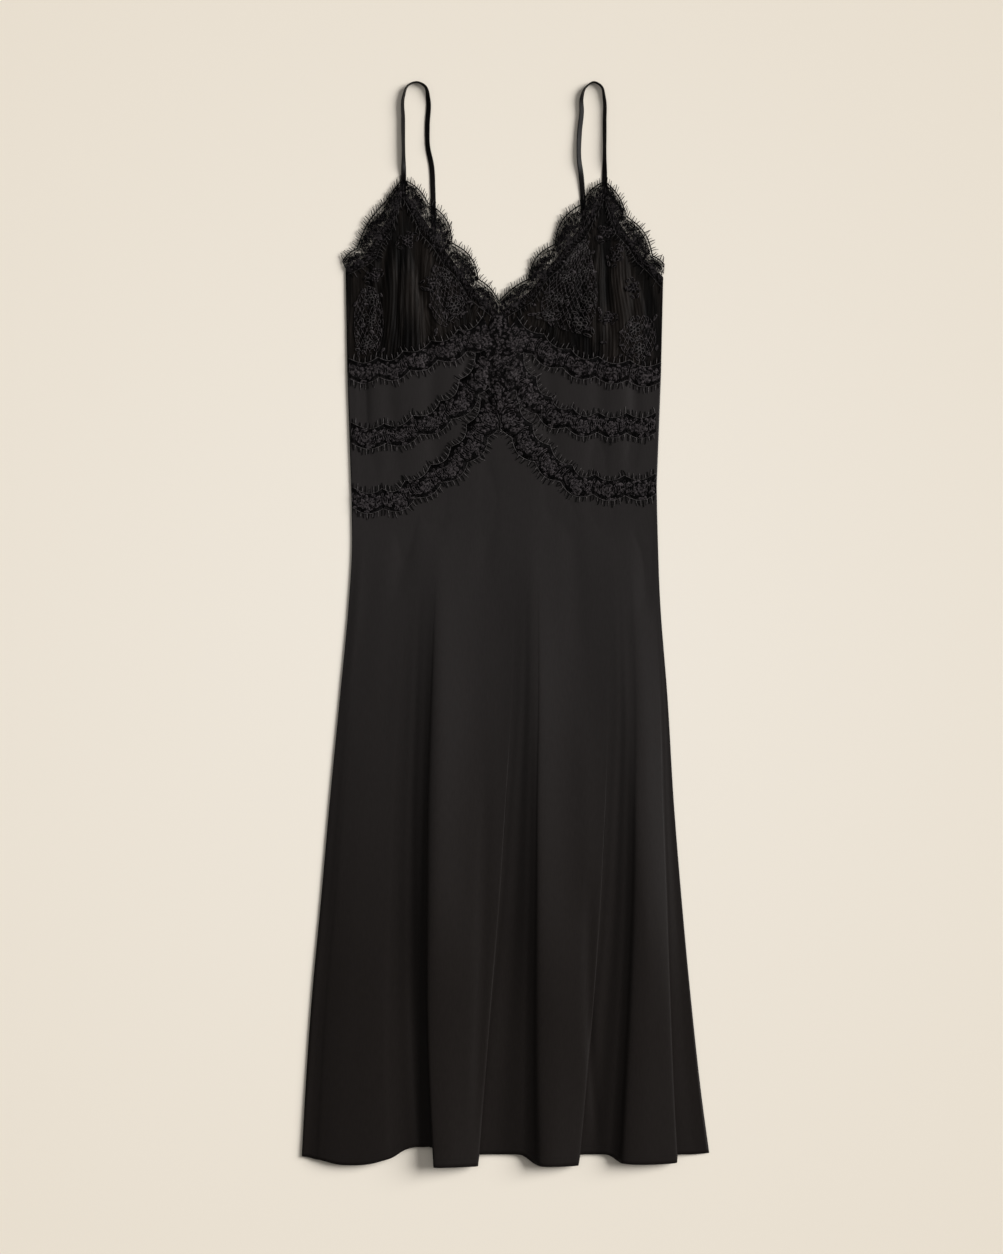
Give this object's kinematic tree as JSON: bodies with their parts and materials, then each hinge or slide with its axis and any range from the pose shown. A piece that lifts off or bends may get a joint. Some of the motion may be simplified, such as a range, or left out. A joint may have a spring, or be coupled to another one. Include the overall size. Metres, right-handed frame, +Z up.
{
  "type": "slip dress",
  "caption": "Slip dress laid flat, with two thin straps, gathered cups, scalloped eyelash-lace trims and bands, a V waist seam and a long skirt that falls in soft folds.",
  "frame": {"origin": "middle of the dress's length and width, on the surface it lies on", "axes": "+Y towards the straps, +Z up out of the front of the dress, +X towards the wearer's left side"},
  "size_m": [0.4805, 1.2786, 0.0156],
  "materials": {
    "satin": "soft satin sheen",
    "cup_cloth": "dull, crinkled",
    "lace": "matt thread",
    "strap": "satin ribbon"
  },
  "bodies": {
    "root": {"back": "satin", "skirt_front": "satin", "midriff": "satin", "cup_left": "cup_cloth", "cup_right": "cup_cloth", "trim_arm_left": "lace", "trim_neck_left": "lace", "trim_neck_right": "lace", "trim_arm_right": "lace", "lashes_arm_left": "lace", "lashes_neck_left": "lace", "lashes_neck_right": "lace", "lashes_arm_right": "lace", "band_bust_left": "lace", "band_bust_right": "lace", "band_waist_left": "lace", "band_waist_right": "lace", "band_hip_left": "lace", "band_hip_right": "lace", "lace_centre": "lace", "patch_left_inner": "lace", "patch_left_outer": "lace", "patch_right_inner": "lace", "patch_right_outer": "lace", "strap_left": "strap", "strap_right": "strap"}
  },
  "joints": []
}
